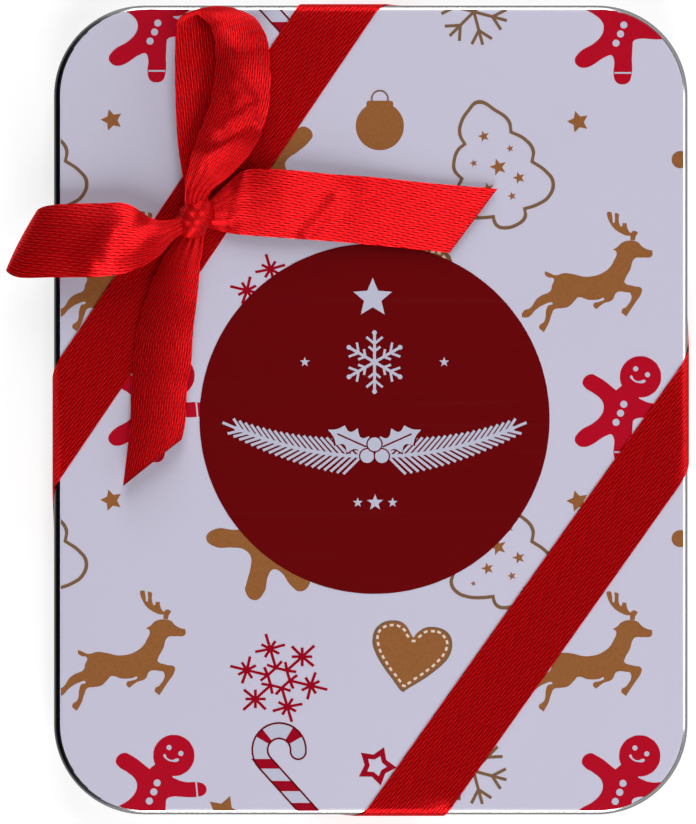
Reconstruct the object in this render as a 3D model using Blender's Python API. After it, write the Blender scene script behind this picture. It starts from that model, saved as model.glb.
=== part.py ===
"""Flat christmas gift tin, tied shut with one satin ribbon that ends in a bow. Metres, +Z up.

The tin lies on its back with its lid up, its longer side along Y. The ribbon crosses two opposite corners of the
lid and the other two corners of the base, and the tin rests on those two lower bands. The origin is the middle of
the bottom of the whole object's box.
"""

import math

import bmesh
import bpy
from mathutils import Matrix, Vector

# Tin, outer sizes
TIN_WIDTH = 0.112
TIN_LENGTH = 0.143
TIN_HEIGHT = 0.0095
CORNER_RADIUS = 0.016

# Tinplate, and the gap between pieces that touch
SHEET = 0.0003
GAP = 0.0003

# Lid
SHOULDER_RADIUS = 0.0013
SKIRT = 0.0062
HEM_RADIUS = 0.00055
HEM_TURN = 230.0

# Base
FOOT_RADIUS = 0.001
FOOT_WIDTH = 0.003
PANEL_RISE = 0.0005
STEP_RADIUS = 0.0005
NECK_CURL_RADIUS = 0.00055
NECK_CURL_TURN = 230.0
SLIP = 0.0003

# Ribbon
RIBBON_WIDTH = 0.012
RIBBON_THICKNESS = 0.00035

# Where the middle of the ribbon turns over each edge of the tin, from the tin's centre
LEFT_FRONT = -0.0013
LEFT_BACK = -0.0189
BOTTOM_FRONT = 0.0069
BOTTOM_BACK = -0.0024
RIGHT_FRONT = -0.0026
RIGHT_BACK = 0.0159
TOP_FRONT = -0.0063
TOP_BACK = 0.0013

# Knot, tied round the band that crosses the left and top edges of the lid
KNOT_WIDTH = 0.0066
KNOT_LENGTH = 0.0084
KNOT_HEIGHT = 0.0064
KNOT_TURN = -14.0
KNOT_ALONG_BAND = 0.04343
KNOT_FULLNESS = 2.4
KNOT_PLEATS = 3
KNOT_PLEAT_DEPTH = 0.000165

# Bow, lengths measured from the middle of the knot and heights from the lid's face
UP_LOOP_REACH = 0.0362
UP_LOOP_HEIGHT = 0.0102
LEFT_LOOP_REACH = 0.0337
LEFT_LOOP_HEIGHT = 0.0086
RIGHT_TAIL_REACH = 0.0527
RIGHT_TAIL_HEIGHT = 0.0036
DOWN_TAIL_REACH = 0.0480
DOWN_TAIL_HEIGHT = 0.0052

# Each bow strip is given by rows from its left selvedge to its right one, seen along the strip from the knot.
# A row holds the two ends and the bulge of its middle, each as (aside, along, height): aside in ribbon widths,
# along in shares of the strip's reach and height in shares of the strip's height.
UP_LOOP_ROWS = (
    ((-0.17, 0.02, 0.48), (0.09, 0.02, 0.46), (0.00, 0.00, 0.04)),
    ((-0.19, 0.09, 0.58), (0.19, 0.10, 0.52), (0.00, 0.00, 0.08)),
    ((-0.14, 0.21, 0.72), (0.59, 0.22, 0.58), (0.00, 0.00, 0.13)),
    ((-0.05, 0.36, 0.84), (0.89, 0.36, 0.66), (0.00, 0.00, 0.13)),
    ((0.05, 0.54, 0.90), (1.05, 0.56, 0.70), (0.00, 0.00, 0.15)),
    ((0.11, 0.76, 0.88), (1.03, 0.80, 0.72), (0.00, 0.01, 0.17)),
    ((0.05, 0.90, 0.76), (0.94, 0.89, 0.66), (0.00, 0.03, 0.13)),
    ((-0.14, 0.96, 0.56), (0.80, 0.95, 0.50), (0.00, 0.04, 0.02)),
    ((-0.29, 0.93, 0.38), (0.69, 0.94, 0.36), (0.00, 0.03, -0.02)),
    ((-0.33, 0.82, 0.27), (0.66, 0.84, 0.26), (0.00, 0.00, -0.03)),
    ((-0.33, 0.61, 0.22), (0.68, 0.61, 0.22), (0.00, 0.00, -0.03)),
    ((-0.30, 0.36, 0.22), (0.53, 0.36, 0.24), (0.00, 0.00, -0.02)),
    ((-0.23, 0.19, 0.27), (0.36, 0.20, 0.29), (0.00, 0.00, -0.02)),
    ((-0.17, 0.10, 0.31), (0.18, 0.10, 0.33), (0.00, 0.00, 0.00)),
    ((-0.13, 0.02, 0.33), (0.12, 0.02, 0.35), (0.00, 0.00, 0.00)),
)
LEFT_LOOP_ROWS = (
    ((-0.22, 0.04, 0.50), (0.02, 0.04, 0.50), (0.00, 0.00, 0.05)),
    ((-0.40, 0.13, 0.56), (-0.12, 0.14, 0.54), (0.00, 0.00, 0.10)),
    ((-0.65, 0.21, 0.60), (-0.09, 0.24, 0.56), (0.00, 0.00, 0.18)),
    ((-0.87, 0.36, 0.62), (0.12, 0.37, 0.62), (0.00, 0.00, 0.24)),
    ((-0.94, 0.53, 0.66), (0.13, 0.53, 0.66), (0.00, 0.00, 0.24)),
    ((-0.95, 0.76, 0.74), (0.12, 0.71, 0.68), (0.00, 0.00, 0.20)),
    ((-0.95, 0.93, 0.70), (0.09, 0.80, 0.64), (0.00, 0.01, 0.14)),
    ((-0.85, 1.00, 0.50), (0.03, 0.84, 0.46), (0.00, 0.01, 0.00)),
    ((-0.78, 0.96, 0.30), (-0.02, 0.82, 0.30), (0.00, 0.01, -0.02)),
    ((-0.80, 0.84, 0.22), (0.01, 0.72, 0.22), (0.00, 0.00, -0.02)),
    ((-0.83, 0.61, 0.18), (0.04, 0.53, 0.18), (0.00, 0.00, -0.02)),
    ((-0.77, 0.39, 0.20), (0.01, 0.35, 0.20), (0.00, 0.00, -0.02)),
    ((-0.54, 0.23, 0.26), (-0.10, 0.22, 0.26), (0.00, 0.00, 0.00)),
    ((-0.34, 0.13, 0.31), (-0.09, 0.13, 0.31), (0.00, 0.00, 0.00)),
    ((-0.19, 0.04, 0.35), (-0.01, 0.04, 0.35), (0.00, 0.00, 0.00)),
)
RIGHT_TAIL_ROWS = (
    ((-0.10, 0.02, 0.72), (0.19, 0.02, 0.72), (0.00, 0.00, 0.10)),
    ((-0.40, 0.09, 0.56), (0.28, 0.09, 0.60), (0.00, 0.00, 0.08)),
    ((-0.63, 0.16, 0.58), (0.32, 0.15, 0.70), (0.00, 0.00, 0.02)),
    ((-0.63, 0.30, 0.84), (0.37, 0.30, 0.78), (0.00, 0.00, 0.02)),
    ((-0.57, 0.44, 0.86), (0.41, 0.43, 0.66), (0.00, 0.00, 0.04)),
    ((-0.53, 0.58, 0.62), (0.46, 0.57, 0.46), (0.00, 0.00, 0.04)),
    ((-0.44, 0.78, 0.42), (0.52, 0.71, 0.36), (0.00, 0.00, 0.03)),
    ((-0.36, 1.00, 0.36), (0.58, 0.84, 0.34), (0.00, 0.00, 0.00)),
)
DOWN_TAIL_ROWS = (
    ((-0.10, 0.04, 0.50), (0.15, 0.04, 0.50), (0.00, 0.00, 0.10)),
    ((-0.07, 0.11, 0.56), (0.38, 0.12, 0.50), (0.00, 0.00, 0.14)),
    ((-0.03, 0.18, 0.58), (0.56, 0.19, 0.40), (0.00, 0.00, 0.24)),
    ((0.02, 0.31, 0.56), (0.76, 0.31, 0.26), (0.00, 0.00, 0.34)),
    ((0.08, 0.43, 0.50), (0.90, 0.43, 0.22), (0.00, 0.00, 0.36)),
    ((0.11, 0.55, 0.46), (0.96, 0.56, 0.22), (0.00, 0.00, 0.34)),
    ((0.17, 0.65, 0.46), (0.99, 0.67, 0.28), (0.00, 0.00, 0.30)),
    ((0.19, 0.76, 0.54), (1.00, 0.78, 0.40), (0.00, 0.00, 0.26)),
    ((0.24, 0.83, 0.66), (1.10, 1.00, 0.62), (0.00, 0.00, 0.16)),
)

# Gathers, the small folds where the strips are squeezed into the knot
GATHERS = 2.5
GATHER_DEPTH = 0.0006
GATHER_FADE = 0.30

# Facets
CORNER_STEPS = 8
SHOULDER_STEPS = 4
FOOT_STEPS = 3
CURL_STEPS = 6
TURN_STEPS = 4
STRIP_COLUMNS = 6
STEPS_A_ROW = 3
KNOT_RINGS = 14
KNOT_SIDES = 16

# Finishes: base colour, metallic, roughness
PRINT_FINISH = ((0.56, 0.54, 0.66, 1.0), 0.0, 0.3)
TINPLATE_FINISH = ((0.62, 0.62, 0.63, 1.0), 1.0, 0.28)
SATIN_FINISH = ((0.46, 0.0, 0.005, 1.0), 0.0, 0.42)


def clear_scene():
    for thing in list(bpy.data.objects):
        bpy.data.objects.remove(thing)


def finish_material(name, finish):
    colour, metallic, roughness = finish
    material = bpy.data.materials.new(name)
    material.use_nodes = True
    shader = material.node_tree.nodes["Principled BSDF"]
    shader.inputs["Base Color"].default_value = colour
    shader.inputs["Metallic"].default_value = metallic
    shader.inputs["Roughness"].default_value = roughness
    return material


def add_object(name, mesh, material):
    mesh.materials.append(material)
    piece = bpy.data.objects.new(name, mesh)
    bpy.context.scene.collection.objects.link(piece)
    return piece


def mesh_of(name, form):
    bmesh.ops.recalc_face_normals(form, faces=form.faces)
    mesh = bpy.data.meshes.new(name)
    form.to_mesh(mesh)
    form.free()
    mesh.shade_smooth()
    mesh.set_sharp_from_angle(angle=math.radians(40))
    return mesh


# Pressed sheet: a path of (inset from the outline, height) run round the tin


def arc(centre, radius, start, turn, steps):
    """Points on an arc in the section, by angle in degrees from the outward direction towards up."""
    angles = [math.radians(start + turn * step / steps) for step in range(steps + 1)]
    inset, height = centre
    return [(inset - radius * math.cos(a), height + radius * math.sin(a)) for a in angles]


def offset_path(path, distance):
    """The path moved sideways, to its right where the distance is positive, with mitred corners."""
    moved = []
    for here, point in enumerate(path):
        before = path[max(here - 1, 0)]
        after = path[min(here + 1, len(path) - 1)]
        sides = []
        for start, end in ((before, point), (point, after)):
            run = Vector((start[0] - end[0], end[1] - start[1]))
            if run.length > 0:
                sides.append(Vector((run.y, -run.x)).normalized())
        middle = (sides[0] + sides[-1]).normalized()
        step = middle * (distance / middle.dot(sides[0]))
        moved.append((point[0] - step.x, point[1] + step.y))
    return moved


def outline_ring(inset, height):
    """The tin's outline, moved inwards."""
    radius = CORNER_RADIUS - inset
    ring = []
    for quarter in range(4):
        side_x = 1 if quarter in (0, 3) else -1
        side_y = 1 if quarter in (0, 1) else -1
        centre = Vector((
            side_x * (TIN_WIDTH / 2 - CORNER_RADIUS),
            side_y * (TIN_LENGTH / 2 - CORNER_RADIUS),
            height,
        ))
        for step in range(CORNER_STEPS + 1):
            angle = math.radians(90 * (quarter + step / CORNER_STEPS))
            ring.append(centre + Vector((math.cos(angle), math.sin(angle), 0)) * radius)
    return ring


def pressed_shell(name, path, thickness, material):
    """One closed sheet-metal body, thickened to the right of the path, with a flat panel at the path's start."""
    profile = path + list(reversed(offset_path(path, thickness)))
    form = bmesh.new()
    rings = [[form.verts.new(point) for point in outline_ring(*at)] for at in profile]
    count = len(rings[0])
    for ring, following in zip(rings, rings[1:]):
        for here in range(count):
            there = (here + 1) % count
            form.faces.new((ring[here], ring[there], following[there], following[here]))
    form.faces.new(rings[0])
    form.faces.new(rings[-1])
    return add_object(name, mesh_of(name, form), material)


def make_lid(material):
    hem_middle = TIN_HEIGHT - SKIRT + HEM_RADIUS
    path = [(2 * SHOULDER_RADIUS, TIN_HEIGHT)]
    path += arc((SHOULDER_RADIUS, TIN_HEIGHT - SHOULDER_RADIUS), SHOULDER_RADIUS, 90, -90, SHOULDER_STEPS)
    path += arc((HEM_RADIUS, hem_middle), HEM_RADIUS, 0, -HEM_TURN, CURL_STEPS)
    return pressed_shell("lid", path, SHEET, material)


def make_base(material):
    step_height = TIN_HEIGHT - SKIRT - GAP
    neck_inset = 2 * HEM_RADIUS + SLIP
    neck_top = TIN_HEIGHT - SHEET - GAP
    foot_inside = FOOT_RADIUS + FOOT_WIDTH
    path = [(foot_inside + 3 * PANEL_RISE, PANEL_RISE), (foot_inside + PANEL_RISE, PANEL_RISE)]
    path += [(foot_inside, 0)]
    path += arc((FOOT_RADIUS, FOOT_RADIUS), FOOT_RADIUS, -90, 90, FOOT_STEPS)
    path += arc((STEP_RADIUS, step_height - STEP_RADIUS), STEP_RADIUS, 0, 90, FOOT_STEPS)
    path += [(neck_inset, step_height)]
    curl_middle = (neck_inset + NECK_CURL_RADIUS, neck_top - NECK_CURL_RADIUS)
    path += arc(curl_middle, NECK_CURL_RADIUS, 0, NECK_CURL_TURN, CURL_STEPS)
    return pressed_shell("base", path, -SHEET, material)


# Ribbon


def strip_object(name, rows, closed, material):
    """A sheet of the ribbon's thickness through rows of points, each running from selvedge to selvedge."""
    form = bmesh.new()
    lines = [[form.verts.new(point) for point in row] for row in rows]
    following = lines[1:] + lines[:1] if closed else lines[1:]
    for line, other in zip(lines, following):
        for here in range(len(line) - 1):
            form.faces.new((line[here], line[here + 1], other[here + 1], other[here]))
    piece = add_object(name, mesh_of(name, form), material)
    thicken = piece.modifiers.new("ribbon thickness", "SOLIDIFY")
    thicken.thickness = RIBBON_THICKNESS
    thicken.offset = 0
    thicken.use_even_offset = True
    return piece


def wrap_sides():
    """The tin's four sides in the order that the ribbon takes them.

    Each is the direction outwards, the direction along the edge towards the first selvedge, the outline's
    distance from the centre, and the ribbon's places over the lid's edge and the base's edge.
    """
    half_width, half_length = TIN_WIDTH / 2, TIN_LENGTH / 2
    return (
        (Vector((-1, 0, 0)), Vector((0, 1, 0)), half_width, LEFT_FRONT, LEFT_BACK),
        (Vector((0, -1, 0)), Vector((1, 0, 0)), half_length, BOTTOM_FRONT, BOTTOM_BACK),
        (Vector((1, 0, 0)), Vector((0, -1, 0)), half_width, RIGHT_FRONT, RIGHT_BACK),
        (Vector((0, 1, 0)), Vector((-1, 0, 0)), half_length, TOP_FRONT, TOP_BACK),
    )


def turning_point(side, front):
    """The middle of the ribbon where it leaves the flat of the lid or of the base at this side, seen from above."""
    outwards, towards, distance, front_place, back_place = side
    inset = SHOULDER_RADIUS if front else FOOT_RADIUS
    along = Vector((abs(towards.x), abs(towards.y), 0))
    return outwards * (distance - inset) + along * (front_place if front else back_place)


def half_crossing(side, neighbour, front):
    """Half the length of the tin's edge that the ribbon covers, from the slant of its band to the next side."""
    run = turning_point(neighbour, front) - turning_point(side, front)
    across = abs(run.normalized().dot(side[0]))
    return RIBBON_WIDTH / 2 / across


def side_rows(side, over_neighbour, under_neighbour):
    """Rows over one side of the tin, from the flat of the lid down to the flat of the base."""
    outwards, towards, distance = side[:3]
    clear = GAP + RIBBON_THICKNESS / 2
    upper, lower = SHOULDER_RADIUS + clear, FOOT_RADIUS + clear
    section = arc((SHOULDER_RADIUS, TIN_HEIGHT - SHOULDER_RADIUS), upper, 90, -90, TURN_STEPS)
    section += arc((FOOT_RADIUS, FOOT_RADIUS), lower, 0, -90, TURN_STEPS)
    lengths = [0.0]
    for before, after in zip(section, section[1:]):
        lengths.append(lengths[-1] + math.dist(before, after))
    start = turning_point(side, True)
    end = turning_point(side, False)
    start_half = half_crossing(side, over_neighbour, True)
    end_half = half_crossing(side, under_neighbour, False)
    rows = []
    for (inset, height), length in zip(section, lengths):
        share = length / lengths[-1]
        middle = start.lerp(end, share)
        middle += outwards * (distance - inset - middle.dot(outwards))
        middle.z = height
        reach = towards * (start_half + (end_half - start_half) * share)
        rows.append([middle + reach, middle - reach])
    return rows


def wrap_rows():
    """The ribbon round the tin: over the lid's left edge first, then on round by the base and back."""
    left, bottom, right, top = wrap_sides()
    rows = side_rows(left, top, bottom)
    rows += reversed(side_rows(bottom, right, left))
    rows += side_rows(right, bottom, top)
    rows += reversed(side_rows(top, left, right))
    return rows


def knot_place():
    """The middle of the knot, on the band from the left edge to the top edge and level with the lid's face."""
    left, _, _, top = wrap_sides()
    start = turning_point(left, True)
    band = turning_point(top, True) - start
    place = start + band.normalized() * KNOT_ALONG_BAND
    return Vector((place.x, place.y, TIN_HEIGHT))


def row_points(row, frame, fade):
    """One row of a bow strip in space, bulged in its middle and gathered near the knot."""
    left, right, bulge = (frame @ Vector(part) for part in row)
    points = []
    for column in range(STRIP_COLUMNS + 1):
        share = column / STRIP_COLUMNS
        point = left.lerp(right, share) + bulge * (4 * share * (1 - share))
        point.z += GATHER_DEPTH * fade * math.cos(2 * math.pi * GATHERS * share)
        points.append(point)
    return points


def spline_point(before, start, end, after, share):
    """A point on the smooth curve through four points, between the middle two."""
    linear = end - before
    square = 2 * before - 5 * start + 4 * end - after
    cube = 3 * (start - end) + after - before
    return start + (linear * share + square * share**2 + cube * share**3) / 2


def smooth_rows(rows):
    """The rows with new ones between them, on smooth curves along the strip."""
    result = []
    last = len(rows) - 1
    for here in range(last):
        corners = [rows[min(max(here + shift, 0), last)] for shift in (-1, 0, 1, 2)]
        for step in range(STEPS_A_ROW):
            share = step / STEPS_A_ROW
            result.append([spline_point(*points, share) for points in zip(*corners)])
    return result + [rows[last]]


def bow_strip(name, table, heading, reach, height, material):
    """A loop or tail: its table is laid out from the knot, along the heading in degrees from +X."""
    along = Vector((math.cos(math.radians(heading)), math.sin(math.radians(heading)), 0))
    aside = Vector((along.y, -along.x, 0))
    frame = Matrix((aside * RIBBON_WIDTH, along * reach, Vector((0, 0, height)))).transposed()
    place = knot_place()
    rows = []
    for row in table:
        nearness = (row[0][1] + row[1][1]) / 2 / GATHER_FADE
        fade = max(0.0, 1 - nearness) * min(1.0, nearness * 4)
        rows.append([place + point for point in row_points(row, frame, fade)])
    return strip_object(name, smooth_rows(rows), False, material)


def make_knot(material):
    """The knot: a pillow round its own long axis, pleated where the ribbon's width is squeezed together."""
    sink = RIBBON_THICKNESS / 2 + GAP
    pleat_share = KNOT_PLEAT_DEPTH / (KNOT_WIDTH / 2)
    form = bmesh.new()
    rings = []
    for step in range(1, KNOT_RINGS):
        share = 2 * step / KNOT_RINGS - 1
        swell = (1 - abs(share) ** KNOT_FULLNESS) ** (1 / KNOT_FULLNESS)
        swell *= 1 + pleat_share * math.cos(2 * math.pi * KNOT_PLEATS * share)
        ring = []
        for side in range(KNOT_SIDES):
            angle = 2 * math.pi * side / KNOT_SIDES
            across = math.cos(angle) * swell * KNOT_WIDTH / 2
            up = math.sin(angle) * swell * (KNOT_HEIGHT - sink) / 2
            ring.append(form.verts.new((across, share * KNOT_LENGTH / 2, up)))
        rings.append(ring)
    for ring, following in zip(rings, rings[1:]):
        for side in range(KNOT_SIDES):
            beside = (side + 1) % KNOT_SIDES
            form.faces.new((ring[side], ring[beside], following[beside], following[side]))
    form.faces.new(rings[0])
    form.faces.new(rings[-1])
    place = knot_place() + Vector((0, 0, (KNOT_HEIGHT + sink) / 2))
    form.transform(Matrix.Translation(place) @ Matrix.Rotation(math.radians(KNOT_TURN), 4, "Z"))
    return add_object("knot_form", mesh_of("knot_form", form), material)


def make_ribbon(material):
    ribbon = strip_object("ribbon", wrap_rows(), True, material)
    forms = [
        make_knot(material),
        bow_strip("up_loop_form", UP_LOOP_ROWS, 90, UP_LOOP_REACH, UP_LOOP_HEIGHT, material),
        bow_strip("left_loop_form", LEFT_LOOP_ROWS, 180, LEFT_LOOP_REACH, LEFT_LOOP_HEIGHT, material),
        bow_strip("right_tail_form", RIGHT_TAIL_ROWS, 0, RIGHT_TAIL_REACH, RIGHT_TAIL_HEIGHT, material),
        bow_strip("down_tail_form", DOWN_TAIL_ROWS, -90, DOWN_TAIL_REACH, DOWN_TAIL_HEIGHT, material),
    ]
    for form in forms:
        form.hide_render = True
        form.display_type = "WIRE"
        join = ribbon.modifiers.new(f"join {form.name}", "BOOLEAN")
        join.operation = "UNION"
        join.solver = "EXACT"
        join.object = form
    return ribbon


def centre_on_floor(pieces):
    """Moves all pieces so that the middle of their box's bottom is the origin."""
    bpy.context.view_layer.update()
    graph = bpy.context.evaluated_depsgraph_get()
    corners = []
    for piece in pieces:
        shape = piece.evaluated_get(graph)
        corners += [shape.matrix_world @ Vector(corner) for corner in shape.bound_box]
    low = Vector([min(corner[axis] for corner in corners) for axis in range(3)])
    high = Vector([max(corner[axis] for corner in corners) for axis in range(3)])
    shift = Vector((-(low.x + high.x) / 2, -(low.y + high.y) / 2, -low.z))
    for thing in bpy.data.objects:
        thing.location += shift


def main():
    clear_scene()
    lid = make_lid(finish_material("printed tinplate", PRINT_FINISH))
    base = make_base(finish_material("tinplate", TINPLATE_FINISH))
    ribbon = make_ribbon(finish_material("red satin", SATIN_FINISH))
    centre_on_floor([lid, base, ribbon])


main()
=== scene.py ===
import math

import bmesh
import bpy
from mathutils import Matrix, Vector


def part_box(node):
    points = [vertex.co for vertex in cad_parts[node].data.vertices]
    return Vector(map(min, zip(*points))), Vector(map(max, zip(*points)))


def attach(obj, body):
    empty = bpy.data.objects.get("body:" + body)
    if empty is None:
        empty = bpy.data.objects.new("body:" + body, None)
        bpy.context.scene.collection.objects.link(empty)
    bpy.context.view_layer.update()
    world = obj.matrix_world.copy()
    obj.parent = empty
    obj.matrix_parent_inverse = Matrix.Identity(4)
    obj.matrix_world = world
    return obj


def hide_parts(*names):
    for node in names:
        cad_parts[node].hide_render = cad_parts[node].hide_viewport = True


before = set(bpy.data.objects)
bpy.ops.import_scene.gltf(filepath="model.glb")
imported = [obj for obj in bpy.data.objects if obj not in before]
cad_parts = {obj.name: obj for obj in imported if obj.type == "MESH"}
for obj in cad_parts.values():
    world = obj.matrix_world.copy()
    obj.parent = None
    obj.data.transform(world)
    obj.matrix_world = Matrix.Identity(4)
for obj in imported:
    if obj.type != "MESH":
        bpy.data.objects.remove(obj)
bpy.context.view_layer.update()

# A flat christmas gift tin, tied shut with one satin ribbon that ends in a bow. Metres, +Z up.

LID_LOW, LID_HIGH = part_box("lid")
BASE_LOW, BASE_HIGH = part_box("base")
MM = 0.001

# The tin's middle, its face and its back
MIDDLE = (LID_LOW + LID_HIGH) / 2
FACE = LID_HIGH.z
BACK = BASE_LOW.z

# Tin
TIN_WIDTH = 0.112
TIN_LENGTH = 0.143
TIN_HEIGHT = 0.0095
CORNER_RADIUS = 0.016
SHEET = 0.0003
SHOULDER_RADIUS = 0.0013
SKIRT = 0.0062
HEM_RADIUS = 0.00055
HEM_LIP = 0.0006
FOOT_RADIUS = 0.001
FOOT_WIDTH = 0.003
PANEL_RISE = 0.0005
STEP_RADIUS = 0.0005
STEP_GAP = 0.0003
SLIP = 0.0003
CORNER_SEGMENTS = 24
SHOULDER_SEGMENTS = 16
HEM_SEGMENTS = 6
FOOT_SEGMENTS = 6
STEP_SEGMENTS = 4
SHELL_SMOOTH_ANGLE = 35

# Print, in thin layers that stand on the lid's face and reach a little into it
PRINT_SINK = 0.0001
MOTIF_RISE = 0.00002
DETAIL_RISE = 0.000035
DISC_RISE = 0.00006
ORNAMENT_RISE = 0.00007
LAYER_STEP = 0.0000003
CURVE_STEPS = 8
PRINT_SPECULAR = 0.3

# The printed field stops short of the lid's outline, where the shoulder has turned down by a tilt in degrees
PRINT_INSET = 0.0008
PRINT_TILT = 23
FLAT_TILT = 2

# Painted reflection: the bare rim is painted dark between two depths below the face, for the dark surroundings it
# reflects, and keeps a share of its shade there
PAINTED_RIM_LINE = (0.00036, 0.0013)
PAINTED_RIM_DARK = 0.30
LINE_BLUR = 0.00002

# Near the left side the print stops sooner, and the rim's painted dark line starts higher and is darker still, a
# painted reflection of the darker left
LEFT_CORNER = 0.010
LEFT_INSET = 0.0005
LEFT_START = 0.00001
PAINTED_LEFT_DARK = 0.08

# Ribbon, a five-end satin, with its warp counted across it and its weft spaced along it
RIBBON_WIDTH = 0.012
RIBBON_THICKNESS = 0.00022
REST_GAP = 0.00004
WARP_ENDS = 58
PICK = 0.00088
SATIN_REPEAT = 5.0
SATIN_STEP = 2.0
CUT_REACH = 0.0005
RIBBON_SMOOTH_ANGLE = 50
STRIP_COLUMNS = 44
BAND_COLUMNS = 14
STEPS_A_ROW = 14
BAND_STEPS = 26
TURN_STEPS = 8

# Where the middle of the ribbon turns over each edge of the tin, from the tin's middle
LEFT_FRONT = -0.0013
LEFT_BACK = -0.0189
BOTTOM_FRONT = 0.0069
BOTTOM_BACK = -0.0024
RIGHT_FRONT = -0.0026
RIGHT_BACK = 0.0159
TOP_FRONT = -0.0063
TOP_BACK = 0.0013

# Knot, with its foot and its top as heights from the lid's face
KNOT_WIDTH = 0.0058
KNOT_LENGTH = 0.0076
KNOT_SHIFT = (-0.0005, -0.0008)
KNOT_FOOT = 0.000475
KNOT_HEIGHT = 0.0064
KNOT_TURN = -28.0
KNOT_ALONG_BAND = 0.04343
KNOT_STEPS = 64
KNOT_COLUMNS = 36
KNOT_ROUNDNESS = 2.4
PLEATS = 2.1
PLEAT_DEPTH = 0.05
PLEAT_SWAY = 0.9

# Gathers close to the knot, in millimetres
GATHER_LIFT = 0.28
GATHER_REACH = 6.5

# Bow: each strip's heading in degrees, its reach from the middle of the knot and its height above the lid's face
UP_LOOP = (90, 0.0362, 0.0102)
LEFT_LOOP = (180, 0.0337, 0.0086)
RIGHT_TAIL = (0, 0.0527, 0.0036)
DOWN_TAIL = (-90, 0.0480, 0.0052)

# Each row of a strip: its left end and right end, as (aside, along, height) in ribbon widths and shares of the
# strip's reach and height, and the bulge of its middle, as (along, height)
UP_LOOP_ROWS = (
    ((-0.17, 0.02, 0.48), (0.09, 0.02, 0.46), (0.00, 0.04)),
    ((-0.19, 0.09, 0.56), (0.19, 0.10, 0.52), (0.00, 0.08)),
    ((-0.14, 0.21, 0.66), (0.59, 0.22, 0.56), (0.00, 0.13)),
    ((0.00, 0.36, 0.74), (0.89, 0.36, 0.60), (0.00, 0.17)),
    ((0.20, 0.54, 0.76), (1.05, 0.56, 0.60), (0.00, 0.20)),
    ((0.27, 0.76, 0.76), (1.03, 0.80, 0.62), (0.01, 0.22)),
    ((0.19, 0.90, 0.72), (0.94, 0.89, 0.58), (0.03, 0.17)),
    ((-0.08, 0.96, 0.66), (0.80, 0.95, 0.48), (0.04, 0.04)),
    ((-0.29, 0.93, 0.62), (0.69, 0.94, 0.44), (0.03, 0.00)),
    ((-0.33, 0.82, 0.62), (0.66, 0.84, 0.42), (0.00, 0.00)),
    ((-0.33, 0.61, 0.60), (0.68, 0.61, 0.38), (0.00, 0.00)),
    ((-0.30, 0.36, 0.54), (0.53, 0.36, 0.36), (0.00, 0.00)),
    ((-0.23, 0.19, 0.46), (0.36, 0.20, 0.34), (0.00, -0.02)),
    ((-0.17, 0.10, 0.38), (0.18, 0.10, 0.33), (0.00, 0.00)),
    ((-0.13, 0.02, 0.34), (0.12, 0.02, 0.35), (0.00, 0.00)),
)
LEFT_LOOP_ROWS = (
    ((-0.22, 0.04, 0.50), (0.02, 0.04, 0.50), (0.00, 0.05)),
    ((-0.40, 0.13, 0.62), (-0.12, 0.14, 0.62), (0.00, 0.10)),
    ((-0.65, 0.21, 0.70), (-0.09, 0.24, 0.66), (0.00, 0.16)),
    ((-0.87, 0.36, 0.76), (0.12, 0.37, 0.62), (0.00, 0.22)),
    ((-0.94, 0.53, 0.77), (0.13, 0.53, 0.56), (0.00, 0.22)),
    ((-0.95, 0.76, 0.68), (0.12, 0.71, 0.50), (0.00, 0.16)),
    ((-0.95, 0.93, 0.52), (0.09, 0.80, 0.44), (0.01, 0.10)),
    ((-0.85, 1.00, 0.36), (0.03, 0.84, 0.36), (0.01, 0.00)),
    ((-0.78, 0.96, 0.26), (-0.02, 0.82, 0.26), (0.01, -0.02)),
    ((-0.80, 0.84, 0.20), (0.01, 0.72, 0.20), (0.00, -0.02)),
    ((-0.83, 0.61, 0.18), (0.04, 0.53, 0.18), (0.00, -0.02)),
    ((-0.77, 0.39, 0.20), (0.01, 0.35, 0.20), (0.00, -0.02)),
    ((-0.54, 0.23, 0.26), (-0.10, 0.22, 0.26), (0.00, 0.00)),
    ((-0.34, 0.13, 0.31), (-0.09, 0.13, 0.31), (0.00, 0.00)),
    ((-0.19, 0.04, 0.35), (-0.01, 0.04, 0.35), (0.00, 0.00)),
)
RIGHT_TAIL_ROWS = (
    ((-0.10, 0.02, 0.72), (0.19, 0.02, 0.72), (0.00, 0.10)),
    ((-0.40, 0.09, 0.56), (0.28, 0.09, 0.60), (0.00, 0.08)),
    ((-0.63, 0.16, 0.58), (0.32, 0.15, 0.70), (0.00, 0.02)),
    ((-0.63, 0.30, 0.84), (0.37, 0.30, 0.78), (0.00, 0.02)),
    ((-0.57, 0.44, 0.86), (0.41, 0.43, 0.66), (0.00, 0.04)),
    ((-0.53, 0.58, 0.62), (0.46, 0.57, 0.46), (0.00, 0.04)),
    ((-0.44, 0.78, 0.42), (0.52, 0.71, 0.36), (0.00, 0.03)),
    ((-0.36, 1.00, 0.36), (0.58, 0.84, 0.34), (0.00, 0.00)),
)
DOWN_TAIL_ROWS = (
    ((-0.10, 0.04, 0.50), (0.15, 0.04, 0.50), (0.00, 0.10)),
    ((-0.07, 0.11, 0.56), (0.38, 0.12, 0.50), (0.00, 0.14)),
    ((-0.03, 0.18, 0.58), (0.56, 0.19, 0.40), (0.00, 0.24)),
    ((0.02, 0.31, 0.56), (0.76, 0.31, 0.26), (0.00, 0.34)),
    ((0.08, 0.43, 0.50), (0.90, 0.43, 0.22), (0.00, 0.36)),
    ((0.11, 0.55, 0.46), (0.96, 0.56, 0.22), (0.00, 0.34)),
    ((0.17, 0.65, 0.46), (0.99, 0.67, 0.28), (0.00, 0.30)),
    ((0.19, 0.76, 0.54), (1.00, 0.78, 0.40), (0.00, 0.26)),
    ((0.24, 0.83, 0.66), (1.10, 1.00, 0.62), (0.00, 0.16)),
)

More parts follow.
